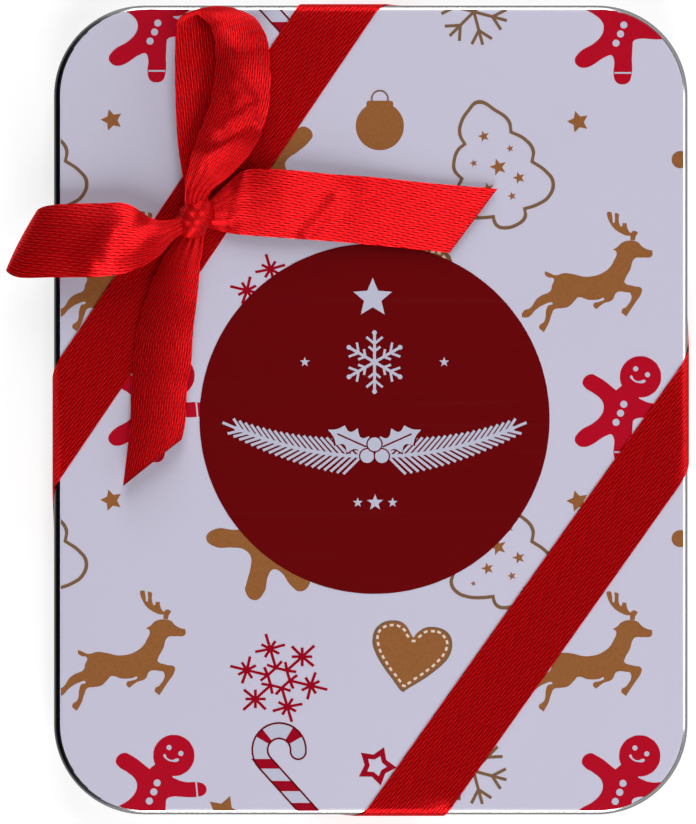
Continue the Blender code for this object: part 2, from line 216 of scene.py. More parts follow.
# Camera and light
CAMERA_PLACE = (-0.00024, -0.00035)
CAMERA_DISTANCE = 0.9
VIEW_HEIGHT = 0.14544
SENSOR = 36.0

# Each lamp: name, place, size and power
SOFTBOXES = (
    ("low softbox", (0.05, -0.75, 0.62), (0.42, 1.0), 7.8),
    ("high softbox", (0.0, 0.75, 0.62), (0.42, 1.0), 6.2),
    ("right softbox", (0.8, 0.0, 0.55), (0.3, 0.7), 2.1),
)


# Small tools


def activate(piece):
    bpy.ops.object.select_all(action="DESELECT")
    piece.select_set(True)
    bpy.context.view_layer.objects.active = piece


def select_parts(kind, wanted):
    """In edit mode, selects the verts, edges or faces that wanted accepts."""
    bpy.context.tool_settings.mesh_select_mode = (kind == "verts", kind == "edges", kind == "faces")
    bpy.ops.mesh.select_all(action="DESELECT")
    mesh = bpy.context.edit_object.data
    form = bmesh.from_edit_mesh(mesh)
    for part in getattr(form, kind):
        if wanted(part):
            part.select_set(True)
    form.select_flush_mode()
    bmesh.update_edit_mesh(mesh)


def at_height(height):
    """A test for edges or faces that lie at a height."""
    return lambda part: all(abs(vert.co.z - height) < 1e-6 for vert in part.verts)


def settle(piece):
    """Puts the piece's place, turn and size into its mesh."""
    activate(piece)
    bpy.ops.object.transform_apply(location=True, rotation=True, scale=True)


def add_object(name, data):
    piece = bpy.data.objects.new(name, data)
    bpy.context.scene.collection.objects.link(piece)
    return piece


def thicken(piece, thickness, offset, smooth_angle, even=False):
    """Gives a sheet its thickness, inwards at -1 or to both sides at 0, and a smooth shade up to an angle."""
    activate(piece)
    sheet = piece.modifiers.new("thickness", "SOLIDIFY")
    sheet.thickness, sheet.offset, sheet.use_even_offset = thickness, offset, even
    bpy.ops.object.modifier_apply(modifier=sheet.name)
    bpy.ops.object.shade_smooth_by_angle(angle=math.radians(smooth_angle))


def close_and_face_out(piece):
    activate(piece)
    bpy.ops.object.mode_set(mode="EDIT")
    bpy.ops.mesh.select_all(action="SELECT")
    bpy.ops.mesh.remove_doubles(threshold=1e-7)
    bpy.ops.mesh.normals_make_consistent(inside=False)
    bpy.ops.object.mode_set(mode="OBJECT")


def join(pieces, name):
    bpy.ops.object.select_all(action="DESELECT")
    for piece in pieces:
        piece.select_set(True)
    bpy.context.view_layer.objects.active = pieces[0]
    bpy.ops.object.join()
    pieces[0].name = name
    return pieces[0]


# Shader groups


def feed(tree, node, inputs):
    """Feeds a node's inputs, each with a plain value or with what another node puts out."""
    for label, value in inputs.items():
        if isinstance(value, bpy.types.NodeSocket):
            tree.links.new(value, node.inputs[label])
        else:
            node.inputs[label].default_value = value


def new_node(tree, kind, inputs=(), **settings):
    """A node's outputs, once its settings are made and its inputs fed."""
    node = tree.nodes.new(kind)
    for name, value in settings.items():
        setattr(node, name, value)
    feed(tree, node, dict(inputs))
    return node.outputs


def new_group(name, inputs):
    """An empty node group and what it is given: a place where there is no starting value, or else a number."""
    group = bpy.data.node_groups.new(name, "ShaderNodeTree")
    for label, value in inputs.items():
        kind = "NodeSocketVector" if value is None else "NodeSocketFloat"
        socket = group.interface.new_socket(label, in_out="INPUT", socket_type=kind)
        if value is not None:
            socket.default_value = value
    return group, new_node(group, "NodeGroupInput")


def put_out(group, values):
    """Gives a group its outputs, which are plain numbers."""
    for label in values:
        group.interface.new_socket(label, in_out="OUTPUT", socket_type="NodeSocketFloat")
    feed(group, group.nodes.new("NodeGroupOutput"), values)
    return group


def math_node(tree, operation, *values):
    return new_node(tree, "ShaderNodeMath", enumerate(values), operation=operation)[0]


def arithmetic(tree):
    """Functions that add, subtract and multiply in a node tree."""
    def function(operation):
        return lambda *values: math_node(tree, operation, *values)
    return function("ADD"), function("SUBTRACT"), function("MULTIPLY")


def map_range(tree, value, low, high, to_low, to_high, smooth=False):
    inputs = {"Value": value, "From Min": low, "From Max": high, "To Min": to_low, "To Max": to_high}
    kind = "SMOOTHSTEP" if smooth else "LINEAR"
    return new_node(tree, "ShaderNodeMapRange", inputs, interpolation_type=kind)["Result"]


def blend(tree, share, at_none, at_full):
    """A number that goes from one value to another as a share goes from none to full."""
    return map_range(tree, share, 0.0, 1.0, at_none, at_full)


def smooth_rise(tree, value, low, high):
    """A smooth rise from none to full between two values."""
    return map_range(tree, value, low, high, 0.0, 1.0, True)


def noise(tree, vector, scale, detail):
    return new_node(tree, "ShaderNodeTexNoise", {"Vector": vector, "Scale": scale, "Detail": detail})["Fac"]


def scaled_colour(tree, colour, factor):
    """A colour times a varying number."""
    return new_node(tree, "ShaderNodeVectorMath", {0: colour, "Scale": factor}, operation="SCALE")["Vector"]


def relief(tree, height, depth):
    """The normal of a surface with a fine relief of a depth in metres."""
    return new_node(tree, "ShaderNodeBump", {"Strength": 1.0, "Distance": depth, "Height": height})["Normal"]


def make_satin_group():
    """Five-end satin: warp floats along the ribbon, each tied down by every fifth pick, two picks on from its
    neighbour. Takes a place in ribbon widths across and metres along. Gives the height, the floats between their
    pits, the selvedge, a number for each yarn and the crests of the floats, where a painted glint goes."""
    group, given = new_group("satin weave", {"Across": 0.5, "Along": 0.0})
    add, subtract, multiply = arithmetic(group)
    across = given["Across"]
    ends = multiply(across, WARP_ENDS)
    end = math_node(group, "FLOOR", ends)
    beside = subtract(math_node(group, "FRACT", ends), 0.5)
    picks = math_node(group, "DIVIDE", given["Along"], PICK)
    yarn = new_node(group, "ShaderNodeTexWhiteNoise", {"W": end}, noise_dimensions="1D")["Value"]
    wandering = add(picks, multiply(yarn, 0.35))
    steps = subtract(wandering, multiply(end, SATIN_STEP))
    phase = math_node(group, "FRACT", math_node(group, "DIVIDE", steps, SATIN_REPEAT))
    from_pit = multiply(math_node(group, "ABSOLUTE", subtract(phase, 0.5)), SATIN_REPEAT)
    floating = smooth_rise(group, from_pit, 0.15, 1.1)
    round_yarn = subtract(1.0, multiply(beside, multiply(beside, 4.0)))
    raised = add(multiply(floating, 0.7), multiply(round_yarn, 0.3))
    painted_glint = multiply(smooth_rise(group, from_pit, 1.5, 2.2), smooth_rise(group, round_yarn, 0.35, 1.0))
    to_edge = math_node(group, "MINIMUM", across, subtract(1.0, across))
    selvedge = map_range(group, to_edge, 0.012, 0.035, 1.0, 0.0, True)
    loops = math_node(group, "SINE", multiply(picks, math.pi))
    bound = multiply(selvedge, add(0.6, multiply(loops, 0.4)))
    height = math_node(group, "MAXIMUM", raised, bound)
    return put_out(group, {"Height": height, "Float": floating, "Selvedge": selvedge, "Yarn": yarn, "Painted Glint": painted_glint})


def make_grain_group():
    """Uneven ink or metal: broad mottling, a fine speckle and faint straight rub marks."""
    group, given = new_group("surface grain", {"Place": None, "Mottling": 0.03, "Speckle": 0.02})
    add, subtract, multiply = arithmetic(group)
    place = given["Place"]
    broad = subtract(noise(group, place, 45.0, 3.0), 0.5)
    fine = subtract(noise(group, place, 2600.0, 1.0), 0.5)
    shade = add(1.0, multiply(broad, given["Mottling"]))
    shade = add(shade, multiply(fine, given["Speckle"]))
    stretch = {"Vector": place, "Scale": (12.0, 900.0, 200.0), "Rotation": (0.0, 0.0, 0.6)}
    stretched = new_node(group, "ShaderNodeMapping", stretch)["Vector"]
    rub = smooth_rise(group, noise(group, stretched, 1.0, 2.0), 0.55, 0.75)
    return put_out(group, {"Shade": shade, "Rub": rub, "Height": add(fine, multiply(rub, -0.3))})


SATIN_GROUP = make_satin_group()
GRAIN_GROUP = make_grain_group()


# Materials


INK_GLOSS = (0.20, 0.25)
INK_RELIEF = 0.000002
PLATE_COLOUR = (0.62, 0.62, 0.63)
PLATE_RELIEF = 0.000004
SATIN_COLOUR = (0.74, 0.0014, 0.0035)
PAINTED_GLINT_COLOUR = (0.26, 0.022, 0.025)
SATIN_RELIEF = 0.000016


def new_material(name, plain):
    """A material whose shader has its plain values set."""
    material = bpy.data.materials.new(name)
    material.use_nodes = True
    tree = material.node_tree
    shader = tree.nodes["Principled BSDF"]
    feed(tree, shader, plain)
    return material, tree, shader


def painted_rim_shade(tree, place):
    """The share of its shade that the lid's rim keeps: little in its painted dark line, which is a painted reflection
    of dark surroundings, and least at the left.
    """
    _, subtract, multiply = arithmetic(tree)
    start, end = PAINTED_RIM_LINE
    parts = new_node(tree, "ShaderNodeSeparateXYZ", {"Vector": place})
    left = map_range(tree, parts["X"], LID_LOW.x, LID_LOW.x + LEFT_CORNER, 1.0, 0.0)
    depth = subtract(FACE, parts["Z"])
    past_start = map_range(tree, subtract(depth, blend(tree, left, start, LEFT_START)), 0.0, LINE_BLUR, 0.0, 1.0)
    before_end = map_range(tree, depth, end, end + LINE_BLUR, 1.0, 0.0)
    painted_loss = blend(tree, left, 1 - PAINTED_RIM_DARK, 1 - PAINTED_LEFT_DARK)
    return subtract(1.0, multiply(multiply(past_start, before_end), painted_loss))


def grain_finish(name, colour, plain, roughness, mottling, speckle, depth, rim=False):
    """A hard surface of uneven ink or metal, with a roughness where it is whole and one where it is rubbed."""
    material, tree, shader = new_material(name, plain)
    place = new_node(tree, "ShaderNodeTexCoord")["Object"]
    inputs = {"Place": place, "Mottling": mottling, "Speckle": speckle}
    grain = new_node(tree, "ShaderNodeGroup", inputs, node_tree=GRAIN_GROUP)
    shade = grain["Shade"]
    # On the lid's rim, a painted reflection darkens the colour in a line round the shoulder
    if rim:
        shade = math_node(tree, "MULTIPLY", shade, painted_rim_shade(tree, place))
    feed(tree, shader, {
        "Base Color": scaled_colour(tree, colour, shade),
        "Roughness": blend(tree, grain["Rub"], *roughness),
        "Normal": relief(tree, grain["Height"], depth),
    })
    return material


def ink(name, colour, mottling, speckle):
    plain = {"Metallic": 0.0, "Specular IOR Level": PRINT_SPECULAR}
    return grain_finish(name, colour, plain, INK_GLOSS, mottling, speckle, INK_RELIEF)


def plate(name, whole, rubbed, rim=False):
    return grain_finish(name, PLATE_COLOUR, {"Metallic": 1.0}, (whole, rubbed), 0.10, 0.06, PLATE_RELIEF, rim)


def satin_finish():
    """Red satin: floats painted light and pits painted dark where the weft ties them down, a painted shade, bound
    selvedges painted lighter as a painted highlight, painted glints on the crests of the floats, and melted cut ends.
    """
    tint = (1.0, 0.4, 0.45, 1.0)
    plain = {"Metallic": 0.58, "Anisotropic": 0.95, "Specular IOR Level": 0.3, "Specular Tint": tint}
    material, tree, shader = new_material("red satin", plain)
    place = new_node(tree, "ShaderNodeUVMap", uv_map="weave")["UV"]
    parts = new_node(tree, "ShaderNodeSeparateXYZ", {"Vector": place})
    inputs = {"Across": parts["X"], "Along": parts["Y"]}
    weave = new_node(tree, "ShaderNodeGroup", inputs, node_tree=SATIN_GROUP)
    cut = new_node(tree, "ShaderNodeAttribute", attribute_name="cut")["Fac"]
    # Painted shade and highlight: the pits are painted dark and the floats light, and the selvedges a fifth lighter
    shade = blend(tree, weave["Float"], 0.38, 0.96)
    for share, at_none, at_full in ((weave["Yarn"], 0.88, 1.08), (cut, 1.0, 0.45), (weave["Selvedge"], 1.0, 1.2)):
        shade = math_node(tree, "MULTIPLY", shade, blend(tree, share, at_none, at_full))
    body = scaled_colour(tree, SATIN_COLOUR, shade)
    # Painted glint: a pinkish light added to the colour on the crest of each float
    painted_glint = scaled_colour(tree, PAINTED_GLINT_COLOUR, weave["Painted Glint"])
    feed(tree, shader, {
        "Base Color": new_node(tree, "ShaderNodeVectorMath", {0: body, 1: painted_glint}, operation="ADD")["Vector"],
        "Roughness": blend(tree, weave["Float"], 0.60, 0.42),
        "Normal": relief(tree, weave["Height"], SATIN_RELIEF),
        "Tangent": new_node(tree, "ShaderNodeTangent", direction_type="UV_MAP", uv_map="weave")["Tangent"],
    })
    return material


TINPLATE = plate("bright tinplate", 0.22, 0.32)
# The lid's rim: bright tinplate with a painted dark line, a painted reflection
RIM_WITH_PAINTED_LINE = plate("lid rim", 0.18, 0.28, rim=True)
LAVENDER = ink("pale lavender print", (0.555, 0.535, 0.662), 0.03, 0.02)
GOLD = ink("gold brown print", (0.279, 0.107, 0.033), 0.10, 0.35)
BROWN = ink("dark gold print", (0.188, 0.102, 0.053), 0.10, 0.25)
SCARLET = ink("red print", (0.429, 0.003, 0.0168), 0.08, 0.12)
CRIMSON = ink("dark red print", (0.305, 0.0015, 0.013), 0.08, 0.12)
MAROON = ink("deep red disc", (0.130, 0.0012, 0.0024), 0.06, 0.10)
WHITE = ink("white print", (0.49, 0.497, 0.617), 0.03, 0.03)
CREAM = ink("cream print", (0.72, 0.60, 0.50), 0.03, 0.03)
SATIN = satin_finish()


# Tin


def faces_down(face):
    return face.normal.z < -0.9


def bevel_edges(wanted, radius, segments):
    select_parts("edges", wanted)
    bpy.ops.mesh.bevel(offset=radius, offset_type="OFFSET", segments=segments, affect="EDGES")


def extrude_up(distance):
    bpy.ops.mesh.extrude_region_move(TRANSFORM_OT_translate={"value": (0, 0, distance)})


def rounded_block(name, low, high):
    """A box with the tin's round corners, left in edit mode."""
    bpy.ops.mesh.primitive_cube_add(size=1, location=(low + high) / 2, scale=high - low)
    piece = bpy.context.object
    piece.name = name
    settle(piece)
    bpy.ops.object.mode_set(mode="EDIT")
    bevel_edges(lambda edge: abs(edge.verts[0].co.z - edge.verts[1].co.z) > 1e-5, CORNER_RADIUS, CORNER_SEGMENTS)
    return piece


def round_edge(height, radius, segments):
    """Rounds the outline's edge at a height, between an upright face and a flat one."""
    def wanted(edge):
        upright = [face for face in edge.link_faces if abs(face.normal.z) < 0.5]
        return at_height(height)(edge) and len(edge.link_faces) == 2 and len(upright) == 1
    bevel_edges(wanted, radius, segments)


def make_lid():
    """The lid, with a rounded shoulder, a skirt and a hem curled inwards."""
    low = Vector((LID_LOW.x, LID_LOW.y, FACE - SKIRT))
    piece = rounded_block("lid_shell", low, Vector(LID_HIGH))
    round_edge(FACE, SHOULDER_RADIUS, SHOULDER_SEGMENTS)
    select_parts("faces", faces_down)
    bpy.ops.mesh.inset(thickness=2 * HEM_RADIUS)
    bpy.ops.mesh.delete(type="FACE")
    round_edge(low.z, HEM_RADIUS, HEM_SEGMENTS)
    select_parts("edges", lambda edge: edge.is_boundary)
    extrude_up(HEM_LIP)
    return finish_shell(piece, RIM_WITH_PAINTED_LINE, LAVENDER)


def make_base():
    """The base, with a foot round a raised panel, a step that the lid comes down to and a neck inside the lid."""
    step_height = BACK + TIN_HEIGHT - SKIRT - STEP_GAP
    neck_height = FACE - SHEET - STEP_GAP
    low = Vector(BASE_LOW)
    piece = rounded_block("base_shell", low, Vector((BASE_HIGH.x, BASE_HIGH.y, step_height)))
    select_parts("faces", faces_down)
    bpy.ops.mesh.inset(thickness=FOOT_RADIUS + FOOT_WIDTH)
    bpy.ops.mesh.inset(thickness=PANEL_RISE)
    bpy.ops.transform.translate(value=(0, 0, PANEL_RISE))
    round_edge(low.z, FOOT_RADIUS, FOOT_SEGMENTS)
    round_edge(step_height, STEP_RADIUS, STEP_SEGMENTS)
    select_parts("faces", lambda face: face.normal.z > 0.9 and at_height(step_height)(face))
    bpy.ops.mesh.inset(thickness=2 * HEM_RADIUS + SLIP - STEP_RADIUS)
    extrude_up(neck_height - step_height)
    bpy.ops.mesh.inset(thickness=2 * HEM_RADIUS)
    bpy.ops.mesh.delete(type="FACE")
    return finish_shell(piece, TINPLATE)


def finish_shell(piece, *materials):
    """Gives the pressed sheet its thickness inwards, a smooth shade with sharp edges, and its materials."""
    bpy.ops.object.mode_set(mode="OBJECT")
    thicken(piece, SHEET, -1, SHELL_SMOOTH_ANGLE, even=True)
    for material in materials:
        piece.data.materials.append(material)
    return piece


def print_face(shell):
    """Prints the lid's face and the start of its shoulder, less of it at the left, and leaves a bare rim."""
    def wanted(face):
        middle = face.calc_center_median()
        tilt = PRINT_TILT * min(1, (middle.x - LID_LOW.x) / LEFT_CORNER)
        return face.normal.z > math.cos(math.radians(max(FLAT_TILT, tilt))) and middle.z > FACE - SHEET / 2
    activate(shell)
    bpy.ops.object.mode_set(mode="EDIT")
    select_parts("faces", wanted)
    shell.active_material_index = shell.data.materials.find(LAVENDER.name)
    bpy.ops.object.material_slot_assign()
    bpy.ops.object.mode_set(mode="OBJECT")


lid = make_lid()
base = make_base()
for shell, node in ((lid, "lid"), (base, "base")):
    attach(shell, "root")
    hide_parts(node)
print_face(lid)


# Print. Places are in millimetres from the middle of the lid, and shapes are drawn round their own middle.


def drawn(outlines, rise, material):
    """A thin flat shape from closed outlines; an outline inside another is a hole. A point with a third value is
    a corner, and the others are smooth."""
    curve = bpy.data.curves.new("drawn", "CURVE")
    curve.dimensions = "2D"
    curve.fill_mode = "BOTH"
    curve.resolution_u = CURVE_STEPS
    for points in outlines:
        spline = curve.splines.new("BEZIER")
        spline.bezier_points.add(len(points) - 1)
        spline.use_cyclic_u = True
        for knot, point in zip(spline.bezier_points, points):
            knot.co = (point[0] * MM, point[1] * MM, 0)
            knot.handle_left_type = knot.handle_right_type = "VECTOR" if len(point) > 2 else "AUTO"
    curve.extrude = (rise + PRINT_SINK) / 2
    activate(add_object("drawn", curve))
    bpy.ops.object.convert(target="MESH")
    shape = bpy.context.object
    shape.location = (0, 0, FACE + (rise - PRINT_SINK) / 2)
    shape.data.materials.append(material)
    return shape


def each_drawn(outlines, rise, material):
    """Each outline as a shape of its own."""
    return [drawn([outline], rise, material) for outline in outlines]


def corners(points):
    return [(x, y, 0) for x, y in points]


def circle(radius, x=0.0, y=0.0, count=12):
    turns = [2 * math.pi * step / count for step in range(count)]
    return [(x + radius * math.cos(turn), y + radius * math.sin(turn)) for turn in turns]


def star(radius, x=0.0, y=0.0, turn=0.0, waist=0.42):
    """A five-pointed star's outline, with its first tip up, turned clockwise by degrees."""
    points = []
    for step in range(10):
        reach = radius if step % 2 == 0 else radius * waist
        angle = math.radians(90 - turn) + math.pi * step / 5
        points.append((x + reach * math.cos(angle), y + reach * math.sin(angle), 0))
    return points


def bar(start, end, width):
    """A straight stroke between two points."""
    run = Vector(end) - Vector(start)
    side = Vector((-run.y, run.x)).normalized() * width / 2
    return corners([Vector(start) + side, Vector(start) - side, Vector(end) - side, Vector(end) + side])


def ray(angle, reach):
    """A place by its angle in degrees and its distance."""
    turn = math.radians(angle)
    return Vector((math.cos(turn), math.sin(turn))) * reach


def rays(root, spread, width):
    """Strokes out from one point, given as (angle in degrees, length)."""
    return [bar(root, root + ray(angle, length), width) for angle, length in spread]


def sprouts(root, turn, lean, length, width):
    """Two strokes from one point, to either side of a direction."""
    return rays(root, [(turn + lean, length), (turn - lean, length)], width)


def stroke(points, width, closed=True):
    """The outline of a line of a width along smooth or cornered points; a closed line has two, one in the other."""
    outer, inner = [], []
    count = len(points)
    for here, point in enumerate(points):
        before = points[here - 1] if closed or here > 0 else point
        after = points[(here + 1) % count] if closed or here < count - 1 else point
        spot = Vector(point[:2])
        run = (spot - Vector(before[:2])).normalized() + (Vector(after[:2]) - spot).normalized()
        at_end = not closed and here in (0, count - 1)
        reach = width / 2 / (1 if at_end else max(0.4, run.length / 2))
        side = Vector((run.y, -run.x)).normalized() * reach
        outer.append((point[0] + side.x, point[1] + side.y, *point[2:]))
        inner.append((point[0] - side.x, point[1] - side.y, *point[2:]))
    if closed:
        return [outer, inner]
    return [outer + inner[::-1]]


RED_FIGURE = (
    (0.0, 0.0, 0), (-3.12, -1.45), (-4.29, -2.38, 0), (-7.54, 0.02), (-8.86, 0.46), (-10.24, -0.92), (-9.71, -1.98),
    (-8.26, -2.91), (-6.8, -4.24), (-6.5, -5.42), (-6.85, -6.6), (-7.98, -7.89), (-10.91, -9.8), (-11.6, -11.15),
    (-10.94, -12.13), (-9.88, -12.39), (-8.91, -12.13), (-5.91, -10.33), (-5.12, -10.18), (-4.73, -10.8),
    (-4.73, -13.8), (-4.29, -14.91), (-3.18, -15.32), (-2.07, -14.91), (-1.61, -13.8), (-1.5, -10.45), (-1.36, -7.8, 0),
    (-0.79, -7.38), (3.79, -7.32), (5.3, -6.92), (5.79, -6.04), (5.3, -5.07), (3.79, -4.68), (2.17, -4.69),
    (0.44, -4.15), (-0.28, -3.57), (0.0, -3.48),
)
GOLD_FIGURE = (
    (-9.39, 2.79), (-10.91, 1.24), (-9.39, -0.28), (-6.35, -0.44), (-4.41, -0.71), (-3.09, -1.94), (-3.04, -3.71),
    (-3.79, -6.71), (-4.02, -8.12), (-2.35, -9.74), (-0.71, -8.38), (0.09, -5.3), (0.88, -4.32), (2.03, -4.59),
    (4.06, -7.15), (5.72, -8.19), (7.32, -6.88), (7.06, -5.3), (4.94, -2.82), (3.53, -1.24), (2.98, 0.19),
    (3.19, 0.86), (5.3, 2.51), (7.17, 4.17), (7.84, 5.49), (6.41, 6.88), (4.94, 6.35), (2.12, 4.06), (-1.06, 3.71),
    (-5.65, 2.68),
)
DEER_BODY = (
    (11.4, 3.65, 0), (11.3, 2.65), (9.75, 2.4), (8.3, 2.25), (7.5, 0.3), (6.6, -1.4), (6.5, -1.95), (8.0, -2.6),
    (9.5, -3.05), (9.5, -3.75), (8.2, -5.85), (7.35, -7.15), (6.8, -8.0, 0), (5.95, -7.35, 0), (6.1, -6.7),
    (6.8, -6.3), (7.6, -4.0), (6.7, -3.7), (5.15, -3.75), (4.3, -5.1), (2.8, -5.7), (1.5, -6.7, 0), (0.95, -6.2, 0),
    (1.1, -5.65), (2.0, -5.4), (2.9, -4.8), (1.9, -5.0), (0.2, -5.05), (-1.8, -4.65), (-2.2, -5.1), (-3.5, -6.3),
    (-4.8, -6.55), (-5.9, -6.75), (-6.4, -7.7), (-6.9, -9.2), (-7.75, -10.75, 0), (-8.6, -10.1, 0), (-8.5, -9.55),
    (-7.7, -8.9), (-7.3, -6.8), (-7.0, -6.1), (-6.2, -5.7), (-7.6, -5.85), (-9.2, -6.85), (-10.5, -8.1),
    (-11.6, -8.15, 0), (-11.65, -7.5, 0), (-11.1, -6.85), (-10.3, -6.6), (-8.9, -4.8), (-8.1, -4.25), (-6.6, -3.5),
    (-6.3, -2.5), (-6.0, -1.35), (-7.0, -1.05), (-7.6, -0.5), (-7.55, 0.0, 0), (-7.0, -0.2), (-5.7, -0.7),
    (-4.2, -0.35), (-2.4, -0.55), (-0.7, -0.95), (1.05, -0.85), (2.6, -0.3), (3.9, 0.7), (4.6, 1.85), (5.05, 3.4),
    (4.45, 3.85, 0), (5.2, 4.25), (5.85, 4.9), (6.5, 5.25), (7.6, 5.4), (8.9, 5.1), (9.5, 4.45), (10.4, 3.9),
)
DEER_ANTLERS = (
    (7.52, 5.44, 0), (7.52, 6.26, 0), (6.95, 6.26), (6.07, 6.58), (5.19, 7.08), (4.43, 7.77), (3.86, 8.66),
    (3.49, 9.54), (3.36, 10.3, 0), (3.61, 10.48), (4.2, 10.42, 0), (4.37, 9.54), (4.65, 8.53), (4.78, 8.91),
    (4.75, 10.23, 0), (4.94, 10.3), (5.54, 10.04, 0), (5.47, 9.03), (5.57, 8.4), (5.84, 7.82, 0), (6.07, 8.03),
    (6.13, 8.51, 0), (6.89, 8.47, 0), (6.89, 8.03), (7.02, 7.52), (7.27, 7.08), (7.58, 6.77), (7.84, 7.02),
    (8.28, 7.14), (8.87, 6.83, 0), (8.72, 6.51), (8.47, 6.14), (8.34, 5.44, 0),
)
TREE_EDGE = (
    (-4.77, 11.15), (-1.77, 9.74), (0.64, 7.8), (1.06, 5.86, 0), (3.46, 4.62), (4.94, 2.68), (4.77, 0.65, 0),
    (7.15, -1.02), (8.47, -2.97), (7.77, -5.44), (5.65, -6.95), (3.46, -7.68, 0), (3.53, -9.14), (2.29, -10.38),
    (-0.25, -11.05), (-1.27, -10.75), (-1.85, -10.0), (-2.06, -9.07, 0), (-2.59, -9.14), (-4.94, -9.28),
    (-6.7, -9.07), (-8.47, -8.26), (-9.43, -6.78), (-9.2, -5.45), (-8.05, -3.25), (-7.62, -2.38, 0), (-8.93, -0.85),
    (-9.0, 0.65), (-8.3, 2.68), (-7.1, 3.74, 0), (-7.98, 5.51), (-7.77, 7.45), (-6.53, 9.57),
)
TREE_STARS = (
    (-3.75, 5.11, 1.06), (0.88, 2.95, 0.72), (-5.52, 0.34, 0.72), (-1.19, -0.32, 1.6), (2.47, -2.22, 1.15),
    (-3.04, -4.13, 1.15), (1.24, -5.45, 0.8), (-5.54, -6.78, 0.5),
)
HEART_EDGE = (
    (-7.02, 2.75), (-6.55, 4.66), (-5.52, 5.69), (-4.78, 6.06), (-3.61, 6.28), (-2.21, 6.13), (-1.25, 5.54),
    (-0.52, 4.51), (-0.08, 3.63), (0.29, 3.16, 0), (0.58, 3.7), (1.25, 4.36), (2.28, 4.95), (3.45, 5.13),
    (4.78, 4.95), (5.81, 4.51), (6.69, 3.63), (7.08, 2.3), (6.91, 0.83), (6.25, -0.56), (5.22, -1.67), (4.19, -2.55),
    (2.28, -3.95), (0.51, -5.05), (-0.96, -5.93), (-1.55, -6.4, 0), (-1.99, -6.15), (-2.65, -5.34), (-3.46, -4.17),
    (-4.78, -2.4), (-5.81, -0.78), (-6.55, 0.69), (-6.92, 1.72),
)
HEART_SEAM = (
    (-3.61, 5.44), (-2.39, 5.28), (-1.4, 4.61), (-0.81, 3.56), (0.26, 2.64), (1.39, 3.48), (2.39, 4.25), (3.67, 4.36),
    (4.75, 4.17), (5.63, 3.41), (6.17, 2.42), (6.04, 1.25), (5.48, 0.14), (4.66, -0.81), (3.75, -1.7), (2.72, -2.52),
    (1.69, -3.25), (0.58, -3.98), (-0.52, -4.76), (-1.45, -5.27), (-2.21, -4.34), (-2.95, -3.36), (-3.78, -2.33),
    (-4.46, -1.25), (-5.11, -0.2), (-5.64, 0.91), (-5.99, 2.11), (-6.11, 3.33), (-5.77, 4.39), (-4.83, 5.17),
)


def red_figure():
    """A gingerbread figure with a smile, three buttons and one iced cuff and sock."""
    marks = [circle(0.62, x, y, 8) for x, y in ((-2.95, -4.84), (-3.53, -6.42), (-4.32, -8.03))]
    marks += [circle(0.45, x, y, 8) for x, y in ((-0.85, 1.41), (1.24, 0.37))]
    marks += stroke([(-1.71, 0.18), (-1.29, -0.51), (-0.41, -0.92), (0.85, -0.71)], 0.27, False)
    marks += [bar((3.92, -4.62), (4.18, -7.36), 0.28), bar((-4.62, -13.29), (-1.62, -13.29), 0.28)]
    return each_drawn([RED_FIGURE, circle(3.64)], MOTIF_RISE, SCARLET) + each_drawn(marks, DETAIL_RISE, WHITE)


def gold_figure():
    return each_drawn([GOLD_FIGURE, circle(3.7, -0.3, 8.0)], MOTIF_RISE, GOLD)


def deer():
    return each_drawn([DEER_BODY, DEER_ANTLERS], MOTIF_RISE, GOLD)


def tree():
    """A tree in outline with stars in it."""
    stars = [star(radius, x, y, -16) for x, y, radius in TREE_STARS]
    return [drawn(stroke(TREE_EDGE, 0.6), MOTIF_RISE, BROWN)] + each_drawn(stars, MOTIF_RISE, GOLD)


def heart():
    """A heart with a stitched seam inside its edge."""
    inner = [(x * 0.93 + 0.03, y * 0.93 + 0.06, *rest) for x, y, *rest in HEART_EDGE]
    stitches = []
    for here, place in enumerate(HEART_SEAM):
        way = Vector(HEART_SEAM[(here + 1) % len(HEART_SEAM)]) - Vector(HEART_SEAM[here - 1])
        way = way.normalized() * 0.34
        stitches.append(bar(Vector(place) - way, Vector(place) + way, 0.42))
    shapes = [drawn([HEART_EDGE], MOTIF_RISE, BROWN), drawn([inner], MOTIF_RISE, GOLD)]
    return shapes + each_drawn(stitches, DETAIL_RISE, CREAM)


def bauble():
    ring = stroke(circle(1.42, 0.0, 4.85), 0.3)
    cap = [(-2.25, 3.0, 0), (-2.25, 4.35), (-1.9, 4.5, 0), (1.9, 4.5, 0), (2.25, 4.35), (2.25, 3.0, 0)]
    return [drawn(ring, MOTIF_RISE, BROWN)] + each_drawn([circle(4.24), cap], MOTIF_RISE, GOLD)


def red_snowflake():
    """A hexagon with two sprouts at each corner, and an asterisk at the end of each of its six arms."""
    strokes, width = [], 0.5
    asterisk = [(0, 2.9), (45, 1.7), (87, 2.6), (135, 1.75), (-45, 1.7), (-87, 2.6), (-135, 1.75)]
    for arm in range(6):
        turn = 105 + 60 * arm
        corner, tip = ray(turn, 1.92), ray(turn, 5.56)
        strokes += [bar(corner, ray(turn + 60, 1.92), width), bar(corner, tip, width)]
        strokes += sprouts(corner, turn, 54, 1.6, width)
        strokes += rays(tip, [(turn + angle, length) for angle, length in asterisk], width)
        strokes.append(circle(0.55, *tip, 8))
    wide = [[(x * 1.05, y * 0.95, *rest) for x, y, *rest in edge] for edge in strokes]
    return each_drawn(wide, MOTIF_RISE, CRIMSON)


def brown_snowflake():
    """Six arms that each split in three."""
    strokes, width = [], 0.55
    for arm in range(6):
        turn = -75 + 60 * arm
        strokes.append(bar((0, 0), ray(turn, 6.05), width))
        strokes += sprouts(ray(turn, 3.4), turn, 42, 2.75, width)
    return each_drawn(strokes, MOTIF_RISE, BROWN)


